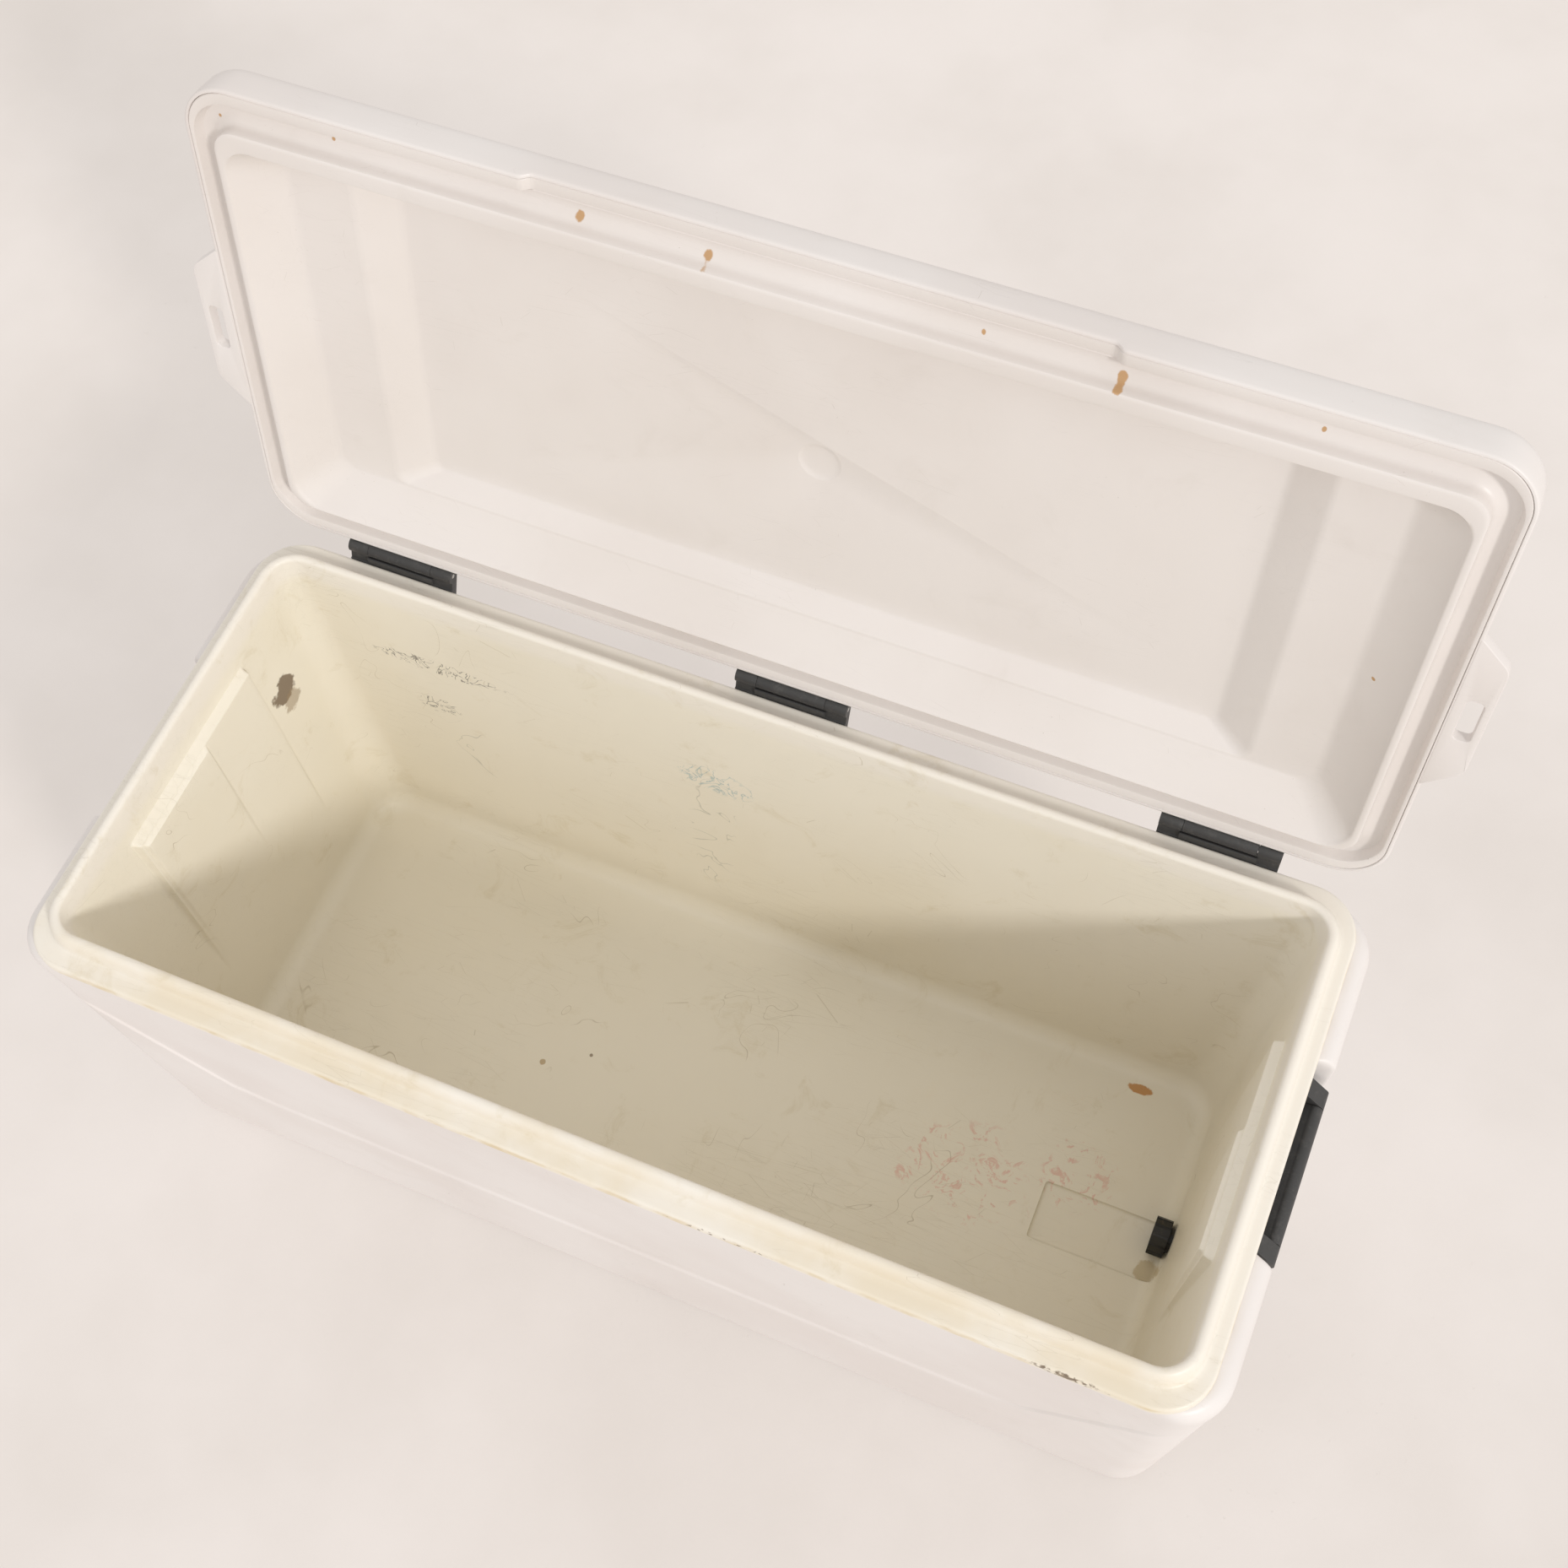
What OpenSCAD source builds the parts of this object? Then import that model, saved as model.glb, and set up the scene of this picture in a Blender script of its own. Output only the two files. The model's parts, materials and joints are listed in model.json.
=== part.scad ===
// Insulated cooler chest with a hinged lid, bail handles and a drain.
// Origin: centre of the base, on the ground. X runs along the chest, Y towards the hinges, Z up.
// All sizes are in millimetres.

/* [Body] */
// Length over the rim
rim_l = 927; // [900:1:950]
// Width over the rim
rim_w = 411; // [400:1:420]
// Height of the rim's flat face
rim_z = 375; // [365:1:385]
// Length over the shell's shoulder, which bulges past the rim at the ends
shoulder_l = 956; // [950:1:966]
// Length of the base
base_l = 924; // [900:1:940]
// Width of the base
base_w = 362; // [340:1:380]
// Corner radius of the rim
corner_r = 39; // [30:1:45]
// Wall thickness of the outer shell
shell_t = 3; // [2.5:0.5:4]

/* [Liner] */
// Length of the opening
opening_l = 880; // [870:1:884]
// Width of the opening
opening_w = 355; // [345:1:358]
// Height of the liner's floor
floor_z = 33; // [30:1:40]
// Length of the flat floor
floor_l = 797; // [780:1:800]
// Width of the flat floor
floor_w = 287; // [270:1:290]
// Wall thickness of the liner
liner_t = 2.5; // [2:0.5:3]
// Height of the sealing bead above the rim
bead_h = 14.5; // [10:0.5:14.5]

/* [Lid] */
// Opening angle of the lid as drawn
lid_open = 100; // [0:5:100]
// Gap between the closed lid's skirt and the rim
lid_gap = 6.3; // [6.3:0.1:8]
// Height of the lid's sides
lid_side_h = 31.7; // [30:0.1:36]
// Rise of the lid's crown above its sides
crown_h = 10; // [8:1:16]
// Reach of the tie-down tabs past the rim
tab_reach = 23; // [20:1:26]
// Depth of the lid's inner pan above its skirt
pan_depth = 30.7; // [26:0.1:31]

/* [Hinges] */
// Length of one hinge
hinge_l = 94; // [80:1:110]
// Distance of the outer hinges from the middle
hinge_x = 347; // [300:1:360]
// Radius of the hinge barrel
barrel_r = 6.5; // [6:0.1:6.5]
// Diameter of the hinge pin
hinge_pin_d = 4; // [3:0.5:5]

/* [Handles] */
// Width of a handle over its bracket
handle_w = 138; // [120:1:142]
// Height of the handle's pivot
handle_z = 331; // [320:1:340]
// Drop of the bail below its pivot
bail_drop = 88; // [70:1:92]
// Diameter of the handle pin
handle_pin_d = 5; // [4:0.5:6]

/* [Drain] */
// Outer radius of the drain's inner nut
drain_nut_r = 16.5; // [15:0.5:17]
// Radius of the drain passage
drain_bore_r = 8; // [6:0.5:8]
// Radius of the drain spout
spout_r = 11; // [10.5:0.5:11]

/* [Hidden] */
$fn = 48;

// Colours
white = "whitesmoke";
cream = "cornsilk";
charcoal = [0.2, 0.21, 0.21];
steel = "silver";
foam_yellow = "khaki";

// Fits
press_gap = 0.02;
run_gap = 0.05;
hole_gap = 0.02;
big = 1000;
skin = 0.1;

// Body heights and half sizes
rim_x = rim_l / 2;
rim_y = rim_w / 2;
seam_z = rim_z - 9;
shoulder_z = rim_z - 21;
shoulder_x = shoulder_l / 2;
shoulder_y = rim_y - 1.3;
base_x = base_l / 2;
base_y = base_w / 2;
base_edge = 9;
opening_x = opening_l / 2;
opening_y = opening_w / 2;
opening_r = 20;
bead_z = rim_z + bead_h;
fillet_z = floor_z + 18.7;
fillet_x = floor_l / 2 + 16.8;
fillet_y = floor_w / 2 + 16.8;

// Raised panel on each end wall of the liner, behind the handle
panel_w = 173;
panel_top_z = 352;
panel_top_x = 430.6;
panel_foot_z = 125;
panel_foot_x = 420.6;

// Handle pocket and handle
pocket_w = 142;
pocket_floor_x = 455;
pocket_foot_z = 262;
pocket_end_z = 220;
handle_x = 473.5;
bail_barrel_r = 6.5;
ear_w = 14.5;
ear_gap = 0.5;
bail_w = handle_w - 2 * (ear_w + ear_gap);
bail_t = 11;
bail_arm = 14;
bail_grip = 20;
bail_corner = 14;
pad_reach = 12.5;
bracket_t = 3;
bracket_foot_z = 290;
bracket_top_z = seam_z - 10;
handle_screw_z = 300;
handle_screw_y = [-61, -22, 22, 61];

// Screws
screw_r = 2;
screw_head_r = 4;
screw_head_h = 2.4;
screw_l = 14;
body_screw_x = 30;
lid_screw_x = 38;

// Lid, closed
lid_z = rim_z + lid_gap;
lid_side_z = lid_z + lid_side_h;
crown_z = lid_side_z + crown_h;
lid_back_z = lid_z + 12;
lip_z = lid_z - 5.5;
groove_z = lid_z + 9.3;
strip_z = lid_z + 16;
pan_z = lid_z + pan_depth;
lip_x = opening_x - 0.7;
lip_y = opening_y - 1.2;
pan_front_y = -162.3;
pan_back_y = 174.5;
strip_x = 396;
step_x = 346;
centre_x = 318;
tab_t = 9;
tab_low_y = -62;
tab_high_y = 85;
tab_edge_low_y = -35;
tab_edge_high_y = 57;
tab_r = 14;
slot_x = 475;
slot_y = 12.5;
slot_w = 12;
slot_l = 39;

// Hinges
hinge_y = rim_y + 7.9;
hinge_z = rim_z + 10.1;
leaf_t = 2.5;
knuckle_l = 18;
knuckle_gap = 0.3;
body_leaf_foot_z = 340;
body_screw_z = 350;
lid_screw_z = lid_z + 21;
lid_leaf_top_z = lid_z + 27;

// Drain
drain_y = 13.5;
sump_floor_z = floor_z - 3;
drain_z = sump_floor_z + drain_nut_r;
sump_in_x = 300;
sump_out_x = 412;
sump_low_y = -24;
sump_high_y = 30;
nut_l = 14;
drain_pocket_x = 438;
drain_pocket_w = 60;
gasket_t = 2;
spout_flange_t = 3;
nozzle_l = 14;
cap_r = 17;
cap_wall = 3;
cap_clear = 0.3;
cap_gasket_t = 1.5;
cap_ribs = 18;
flange_x = drain_pocket_x + gasket_t;
nozzle_x = flange_x + spout_flange_t;
nozzle_end = nozzle_x + nozzle_l;
cap_inner_r = spout_r + 1 + cap_clear;

// --- Shapes ---

// Rectangle with round corners, from half sizes.
module round_rect(x, y, r) {
    square([2 * x, 2 * (y - r)], center = true);
    square([2 * (x - r), 2 * y], center = true);
    for (sx = [-1, 1], sy = [-1, 1])
        translate([sx * (x - r), sy * (y - r)])
            circle(r);
}

// Prism with that outline between two heights.
module prism(x, y, r, z0, z1) {
    translate([0, 0, z0])
        linear_extrude(z1 - z0)
            round_rect(x, y, r);
}

// Smooth shell through rounded rectangles, each given as [half x, half y, radius, z].
module loft(rings) {
    last = len(rings) - 1;
    hull()
        for (i = [0 : last])
            let (s = rings[i], z = i == last ? s[3] - skin : s[3])
                prism(s[0], s[1], s[2], z, z + skin, $fn = 32);
}

// Profile in the YZ plane, extruded along X and centred.
module along_x(length) {
    rotate([90, 0, 90])
        linear_extrude(length, center = true)
            children();
}

// Profile in the XZ plane, extruded along Y and centred.
module along_y(length) {
    rotate([90, 0, 0])
        linear_extrude(length, center = true)
            children();
}

// Cylinder along X from x0 to x1.
module rod_x(r, x0, x1) {
    translate([x0, 0, 0])
        rotate([0, 90, 0])
            cylinder(r = r, h = x1 - x0);
}

// Cylinder along Y, centred.
module rod_y(r, length) {
    rotate([90, 0, 0])
        cylinder(r = r, h = length, center = true);
}

// Places a part of the right end at the left end instead.
module end(side) {
    if (side < 0)
        mirror([1, 0, 0])
            children();
    else
        children();
}

// Turns what is drawn for the closed lid about the hinge axis.
module open_lid() {
    translate([0, hinge_y, hinge_z])
        rotate([-lid_open, 0, 0])
            translate([0, -hinge_y, -hinge_z])
                children();
}

// --- Screws ---

// Screw along +X: its head lies against x = 0 and its shank points to -X.
module screw() {
    rod_x(screw_r, -screw_l, 0.5);
    rotate([0, 90, 0])
        cylinder(r1 = screw_head_r, r2 = screw_head_r - 1.2, h = screw_head_h);
}

module pilot() {
    rod_x(screw_r + hole_gap, -screw_l - 1, 12);
}

// Screw positions on the hinges' body leaves.
module at_body_screws() {
    for (hx = [-hinge_x, 0, hinge_x], sx = [-body_screw_x, body_screw_x])
        translate([hx + sx, rim_y + 0.1 + leaf_t, body_screw_z])
            rotate([0, 0, 90])
                children();
}

// Screw positions on the hinges' lid leaves, lid closed.
module at_lid_screws() {
    for (hx = [-hinge_x, 0, hinge_x], sx = [-lid_screw_x, lid_screw_x])
        translate([hx + sx, rim_y + leaf_t, lid_screw_z])
            rotate([0, 0, 90])
                children();
}

// Screw positions on both handle brackets.
module at_handle_screws() {
    for (side = [-1, 1], y = handle_screw_y)
        end(side)
            translate([pocket_floor_x + bracket_t, y, handle_screw_z])
                children();
}

// --- Body ---

module shell_outside() {
    loft([
        [base_x - base_edge, base_y - base_edge, corner_r, 0],
        [base_x, base_y, corner_r, base_edge],
        [shoulder_x, shoulder_y, corner_r, shoulder_z],
        [rim_x + 6, rim_y - 0.6, corner_r, seam_z - 3],
        [rim_x, rim_y - 0.8, corner_r, seam_z]
    ]);
}

module shell_inside() {
    loft([
        [base_x - base_edge - shell_t, base_y - base_edge - shell_t, corner_r - shell_t, shell_t],
        [base_x - shell_t, base_y - shell_t, corner_r - shell_t, base_edge + shell_t],
        [shoulder_x - shell_t, shoulder_y - shell_t, corner_r - shell_t, shoulder_z - 2],
        [rim_x - shell_t, rim_y - 0.8 - shell_t, corner_r - shell_t, seam_z]
    ]);
}

// Scoop in an end wall for the handle, grown outwards by t behind its floor.
module handle_pocket(t) {
    along_y(pocket_w + 2 * t)
        polygon([
            [pocket_floor_x - t, seam_z + 1],
            [pocket_floor_x - t, pocket_foot_z - t],
            [shoulder_x - 6 - t, pocket_end_z - t],
            [shoulder_x + 20, pocket_end_z - t],
            [shoulder_x + 20, seam_z + 1]
        ]);
}

// Square recess for the drain fitting at the right end, grown by t.
module drain_pocket(t) {
    w = drain_pocket_w + 2 * t;
    translate([drain_pocket_x - t, drain_y - w / 2, drain_z - w / 2])
        cube([60, w, w]);
}

module pocket_walls() {
    for (side = [-1, 1])
        end(side)
            handle_pocket(shell_t);
    drain_pocket(shell_t);
}

module at_drain() {
    translate([0, drain_y, drain_z])
        children();
}

module outer_shell() {
    color(white)
        difference() {
            shell_outside();
            difference() {
                shell_inside();
                pocket_walls();
            }
            prism(rim_x - 12, rim_y - 12, corner_r - 12, seam_z - 1, seam_z + 1);
            for (side = [-1, 1])
                end(side)
                    handle_pocket(0);
            drain_pocket(0);
            at_drain()
                rod_x(spout_r + hole_gap, drain_pocket_x - 10, drain_pocket_x + 10);
            at_handle_screws()
                pilot();
            at_body_screws()
                pilot();
        }
}

module liner_outside() {
    loft([
        [floor_l / 2, floor_w / 2, 22, floor_z - liner_t],
        [fillet_x - 4.2, fillet_y - 4.2, 32, floor_z + 3],
        [fillet_x + liner_t, fillet_y + liner_t, 36, fillet_z - liner_t],
        [opening_x + liner_t, opening_y + liner_t, opening_r + liner_t, rim_z]
    ]);
}

module cavity() {
    loft([
        [floor_l / 2, floor_w / 2, 22, floor_z],
        [fillet_x - 6.4, fillet_y - 6.4, 30, floor_z + 5.2],
        [fillet_x, fillet_y, 34, fillet_z],
        [opening_x, opening_y, opening_r, rim_z + 0.5]
    ]);
}

// Raised panels on the end walls, moved outwards by t.
module end_panels(t) {
    for (side = [-1, 1])
        end(side)
            along_y(panel_w - 2 * t)
                polygon([
                    [panel_foot_x + t, panel_foot_z],
                    [panel_top_x + t, panel_top_z - t],
                    [big, panel_top_z - t],
                    [big, panel_foot_z]
                ]);
}

// Sump in the floor that leads to the drain, grown by t.
module sump(t) {
    translate([sump_in_x - t, sump_low_y - t, sump_floor_z - t])
        cube([sump_out_x - sump_in_x + 2 * t, sump_high_y - sump_low_y + 2 * t, 22 + t]);
}

module liner_envelope() {
    difference() {
        liner_outside();
        end_panels(liner_t);
    }
    sump(liner_t);
}

module bead() {
    loft([
        [opening_x + 13, opening_y + 12.5, opening_r + 12, rim_z - 1],
        [opening_x + 12.5, opening_y + 12, opening_r + 12, rim_z + 7],
        [opening_x + 9.5, opening_y + 9, opening_r + 9, bead_z - 1.2],
        [opening_x + 7, opening_y + 6.5, opening_r + 7, bead_z]
    ]);
}

module bead_flare() {
    loft([
        [opening_x, opening_y, opening_r, rim_z],
        [opening_x + 1, opening_y + 1, opening_r + 1, rim_z + 6],
        [opening_x + 2.2, opening_y + 2.2, opening_r + 2, bead_z - 6]
    ]);
    prism(opening_x + 2.2, opening_y + 2.2, opening_r + 2, bead_z - 6.1, bead_z + 1);
}

module inner_liner() {
    color(cream)
        difference() {
            union() {
                liner_envelope();
                prism(rim_x, rim_y, corner_r, rim_z - 3, rim_z);
                difference() {
                    prism(rim_x, rim_y, corner_r, seam_z, rim_z);
                    prism(rim_x - 3, rim_y - 3, corner_r - 3, seam_z - 1, rim_z + 1);
                }
                bead();
            }
            difference() {
                cavity();
                end_panels(0);
            }
            bead_flare();
            sump(0);
            at_drain()
                rod_x(spout_r + hole_gap, sump_out_x - 4, sump_out_x + 10);
        }
}

module foam_core() {
    color(foam_yellow)
        difference() {
            union() {
                shell_inside();
                prism(rim_x - 3.1, rim_y - 3.9, corner_r - 3, seam_z - 0.1, rim_z - 3);
            }
            liner_envelope();
            pocket_walls();
            at_drain()
                rod_x(spout_r + hole_gap, sump_out_x - 10, drain_pocket_x + 10);
            at_handle_screws()
                pilot();
            at_body_screws()
                pilot();
        }
}

// --- Lid, drawn closed ---

module lid_outside() {
    loft([
        [rim_x, rim_y, corner_r, lid_z],
        [rim_x - 0.3, rim_y - 0.3, corner_r - 0.3, lid_side_z - 6],
        [rim_x - 3.3, rim_y - 3.3, corner_r - 3.3, lid_side_z],
        [rim_x - 12, rim_y - 12, corner_r - 9, lid_side_z + 4.5],
        [rim_x - 70, rim_y - 70, corner_r - 12, crown_z]
    ]);
}

module lid_inside() {
    loft([
        [rim_x - shell_t, rim_y - shell_t, corner_r - shell_t, lid_z - 1],
        [rim_x - shell_t, rim_y - shell_t, corner_r - shell_t, lid_side_z - 8.5],
        [rim_x - shell_t - 4, rim_y - shell_t - 4, corner_r - shell_t - 3, lid_side_z - 2],
        [rim_x - 15, rim_y - 15, corner_r - 8, lid_side_z + 1.5],
        [rim_x - 70, rim_y - 70, corner_r - 10, crown_z - shell_t]
    ]);
}

// Outline of a tie-down tab: straight outer edge between two round corners.
module tab_outline() {
    reach_x = rim_x + tab_reach - tab_r;
    turn = 55;
    polygon([
        [rim_x - 2.5, tab_low_y],
        [rim_x, tab_low_y],
        for (a = [-turn : 5 : 0])
            [reach_x + tab_r * cos(a), tab_edge_low_y + tab_r * sin(a)],
        for (a = [0 : 5 : turn])
            [reach_x + tab_r * cos(a), tab_edge_high_y + tab_r * sin(a)],
        [rim_x, tab_high_y],
        [rim_x - 2.5, tab_high_y]
    ]);
}

module tab() {
    translate([0, 0, lid_z])
        linear_extrude(tab_t)
            tab_outline();
}

module tab_slot() {
    translate([slot_x, slot_y, lid_z - 1])
        linear_extrude(tab_t + 2)
            round_rect(slot_w / 2, slot_l / 2, 4);
}

module lid_shell() {
    color(white)
        open_lid()
            difference() {
                union() {
                    lid_outside();
                    for (side = [-1, 1])
                        end(side)
                            tab();
                }
                lid_inside();
                for (side = [-1, 1])
                    end(side)
                        tab_slot();
                at_lid_screws()
                    pilot();
            }
}

// Outline of the pan at one height, given as half length, front and back.
module pan_ring(x, front, back, r, z) {
    translate([0, (front + back) / 2, 0])
        prism(x, (back - front) / 2, r, z, z + skin, $fn = 32);
}

// The pan's shallow full-length hollow, grown by t.
module pan_strip(t) {
    hull() {
        pan_ring(433.2 + t, pan_front_y - t, pan_back_y + t, 22, lip_z - 1);
        pan_ring(strip_x + t, pan_front_y + 8 - t, 138 + t, 15, strip_z + t - skin);
    }
}

// The pan's deeper middle, grown by t.
module pan_centre(t) {
    hull() {
        pan_ring(step_x + t, pan_front_y + 8 - t, 138 + t, 10, strip_z - 1);
        pan_ring(centre_x + t, pan_front_y + 12 - t, 122 + t, 8, pan_z + t - skin);
    }
}

// Ring that takes the body's sealing bead when the lid is closed.
module groove() {
    difference() {
        loft([
            [rim_x - 6.1, rim_y - 12, corner_r - 6, lid_z - 1],
            [rim_x - 9.5, rim_y - 15, corner_r - 9, groove_z]
        ]);
        prism(lip_x, lip_y, opening_r - 1, lid_z - 2, groove_z + 1);
        loft([
            [lip_x + 0.2, lip_y, opening_r - 1, lid_z + 4.8],
            [lip_x + 2.2, lip_y + 2, opening_r + 1, groove_z + 0.3]
        ]);
    }
}

module lid_liner() {
    color(white)
        open_lid()
            difference() {
                union() {
                    prism(rim_x - 3.5, rim_y - 3.5, corner_r - 3.5, lid_z + 0.2, lid_back_z);
                    prism(lip_x, lip_y, opening_r - 1, lip_z, lid_back_z);
                    pan_strip(liner_t);
                    pan_centre(liner_t);
                }
                prism(rim_x, rim_y, corner_r, lip_z - 20, lip_z);
                groove();
                pan_strip(0);
                pan_centre(0);
            }
}

module lid_foam() {
    color(foam_yellow)
        open_lid()
            difference() {
                lid_inside();
                prism(rim_x + 1, rim_y + 1, corner_r, lid_z - 2, lid_back_z);
                pan_strip(liner_t);
                pan_centre(liner_t);
                at_lid_screws()
                    pilot();
            }
}

// --- Hinges, about the X axis at hinge_y, hinge_z ---

module hinge_bore(r) {
    translate([0, hinge_y, hinge_z])
        rod_x(r, -hinge_l, hinge_l);
}

module body_leaf(hx) {
    inner_y = rim_y + 0.1;
    outer_y = inner_y + leaf_t;
    low_y = inner_y - 1.8;
    half = hinge_l / 2;
    color(charcoal)
        translate([hx, 0, 0]) {
            difference() {
                along_x(hinge_l)
                    polygon([
                        [inner_y, rim_z - 1],
                        [outer_y, rim_z - 1],
                        [outer_y, body_leaf_foot_z],
                        [low_y, body_leaf_foot_z],
                        [inner_y - 0.6, seam_z - 1],
                        [inner_y, seam_z]
                    ]);
                for (sx = [-body_screw_x, body_screw_x])
                    translate([sx, outer_y, body_screw_z])
                        rotate([0, 0, 90])
                            pilot();
            }
            cradle(inner_y, outer_y);
            difference() {
                for (side = [-1, 1])
                    translate([side * (half - knuckle_l / 2), 0, 0])
                        along_x(knuckle_l)
                            union() {
                                polygon([
                                    [outer_y - 1, rim_z - 1],
                                    [outer_y - 1, rim_z - 16],
                                    [outer_y, rim_z - 16],
                                    [hinge_y + 5, hinge_z - 4],
                                    [hinge_y - 4, hinge_z - 4]
                                ]);
                                translate([hinge_y, hinge_z])
                                    circle(barrel_r);
                            }
                hinge_bore(hinge_pin_d / 2 + press_gap);
            }
        }
}

// Lip of the body leaf that closes the gap under the lid leaf's knuckle.
module cradle(inner_y, outer_y) {
    along_x(hinge_l - 2 * knuckle_l + 2)
        polygon([
            [inner_y, rim_z - 2],
            [inner_y, rim_z + 5.6],
            [inner_y + 1.3, rim_z + 5.8],
            [outer_y, rim_z + 5.2],
            [hinge_y - 4, rim_z + 4],
            [hinge_y - 2, rim_z + 3.2],
            [hinge_y, rim_z + 2.9],
            [hinge_y, rim_z + 1.4],
            [outer_y, rim_z - 4]
        ]);
}

module lid_leaf(hx) {
    inner_y = rim_y;
    outer_y = inner_y + leaf_t;
    half = hinge_l / 2;
    mid_l = hinge_l - 2 * (knuckle_l + knuckle_gap);
    color(charcoal)
        open_lid()
            translate([hx, 0, 0])
                difference() {
                    union() {
                        translate([-half, inner_y, hinge_z + barrel_r + 1])
                            cube([hinge_l, leaf_t, lid_leaf_top_z - hinge_z - barrel_r - 1]);
                        translate([-mid_l / 2, inner_y, lid_z + 1])
                            cube([mid_l, leaf_t, 16]);
                        along_x(mid_l)
                            union() {
                                polygon([
                                    [outer_y - 1, hinge_z - 2],
                                    [outer_y - 1, hinge_z + 12],
                                    [outer_y, hinge_z + 12],
                                    [hinge_y + 4, hinge_z + 5]
                                ]);
                                translate([hinge_y, hinge_z])
                                    circle(barrel_r);
                            }
                    }
                    hinge_bore(hinge_pin_d / 2 + run_gap);
                    for (sx = [-lid_screw_x, lid_screw_x])
                        translate([sx, outer_y, lid_screw_z])
                            rotate([0, 0, 90])
                                pilot();
                }
}

module hinge_pin(hx) {
    color(steel)
        translate([hx, hinge_y, hinge_z])
            rod_x(hinge_pin_d / 2, -hinge_l / 2, hinge_l / 2);
}

module hinge_body_screws() {
    color(steel)
        at_body_screws()
            screw();
}

module hinge_lid_screws() {
    color(steel)
        open_lid()
            at_lid_screws()
                screw();
}

// --- Handles, drawn at the right end ---

module handle_bracket(side) {
    color(charcoal)
        end(side)
            difference() {
                union() {
                    translate([pocket_floor_x, -handle_w / 2, bracket_foot_z])
                        cube([bracket_t, handle_w, bracket_top_z - bracket_foot_z]);
                    for (s = [-1, 1])
                        translate([0, s * (handle_w - ear_w) / 2, 0])
                            along_y(ear_w)
                                ear_profile();
                }
                translate([handle_x, 0, handle_z])
                    rod_y(handle_pin_d / 2 + press_gap, handle_w + 2);
                for (y = handle_screw_y)
                    translate([pocket_floor_x + bracket_t, y, handle_screw_z])
                        pilot();
            }
}

module ear_profile() {
    polygon([
        [pocket_floor_x, bracket_foot_z + 24],
        [pocket_floor_x + bracket_t, bracket_foot_z + 24],
        [handle_x + 4, handle_z - 5],
        [handle_x + 4, handle_z + 5],
        [pocket_floor_x + bracket_t, bracket_top_z],
        [pocket_floor_x, bracket_top_z]
    ]);
    translate([handle_x, handle_z])
        circle(bail_barrel_r);
}

module bail(side) {
    color(charcoal)
        end(side)
            translate([handle_x, 0, handle_z])
                difference() {
                    union() {
                        rod_y(bail_barrel_r, bail_w);
                        translate([-pad_reach, -bail_w / 2, -2])
                            cube([pad_reach, bail_w, bail_barrel_r + 1]);
                        rotate([0, 90, 0])
                            linear_extrude(bail_t, center = true)
                                bail_outline();
                    }
                    rod_y(handle_pin_d / 2 + run_gap, bail_w + 2);
                }
}

// Outline of the bail: its local x runs downwards from the pivot.
module bail_outline() {
    hole_x = (bail_drop - bail_grip - bail_barrel_r) / 2;
    difference() {
        union() {
            translate([0, -bail_w / 2])
                square([bail_drop - bail_corner, bail_w]);
            translate([bail_drop / 2, 0])
                round_rect(bail_drop / 2, bail_w / 2, bail_corner);
        }
        translate([bail_barrel_r + 1 + hole_x - 0.5, 0])
            round_rect(hole_x - 0.5, bail_w / 2 - bail_arm, 10);
        translate([-big, -big])
            square([big, 2 * big]);
    }
}

module handle_pin(side) {
    color(steel)
        end(side)
            translate([handle_x, 0, handle_z])
                rod_y(handle_pin_d / 2, handle_w);
}

module handle_screws() {
    color(steel)
        at_handle_screws()
            screw();
}

// --- Drain, along the X axis at the right end ---

module drain_spout() {
    color(charcoal)
        at_drain()
            difference() {
                union() {
                    rod_x(spout_r, sump_out_x - nut_l, nozzle_x);
                    rod_x(drain_nut_r + 1.5, flange_x, nozzle_x);
                    rod_x(spout_r + 1, nozzle_x, nozzle_end);
                }
                rod_x(drain_bore_r, sump_out_x - nut_l - 1, nozzle_end + 1);
            }
}

module drain_nut() {
    color(charcoal)
        at_drain()
            difference() {
                union() {
                    rod_x(drain_nut_r - 1, sump_out_x - nut_l, sump_out_x);
                    for (a = [0 : 30 : 330])
                        rotate([a, 0, 0])
                            translate([sump_out_x - nut_l, -3, 0])
                                cube([nut_l, 6, drain_nut_r - 0.3]);
                }
                rod_x(spout_r + hole_gap, sump_out_x - nut_l - 1, sump_out_x + 1);
            }
}

module drain_gasket() {
    color("dimgray")
        at_drain()
            difference() {
                rod_x(drain_nut_r + 1.5, drain_pocket_x, flange_x);
                rod_x(spout_r + hole_gap, drain_pocket_x - 1, flange_x + 1);
            }
}

module drain_cap() {
    color(charcoal)
        at_drain()
            difference() {
                union() {
                    rod_x(cap_r - 1, nozzle_x + 1, nozzle_end + cap_gasket_t + cap_wall);
                    for (a = [0 : 360 / cap_ribs : 359])
                        rotate([a, 0, 0])
                            translate([nozzle_x + 1, -1.2, 0])
                                cube([nozzle_l + cap_gasket_t, 2.4, cap_r]);
                }
                rod_x(cap_inner_r, nozzle_x, nozzle_end + cap_gasket_t);
            }
}

module drain_cap_gasket() {
    color("dimgray")
        at_drain()
            difference() {
                rod_x(spout_r + 1, nozzle_end, nozzle_end + cap_gasket_t);
                rod_x(drain_bore_r, nozzle_end - 1, nozzle_end + cap_gasket_t + 1);
            }
}

// --- Nodes ---

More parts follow.
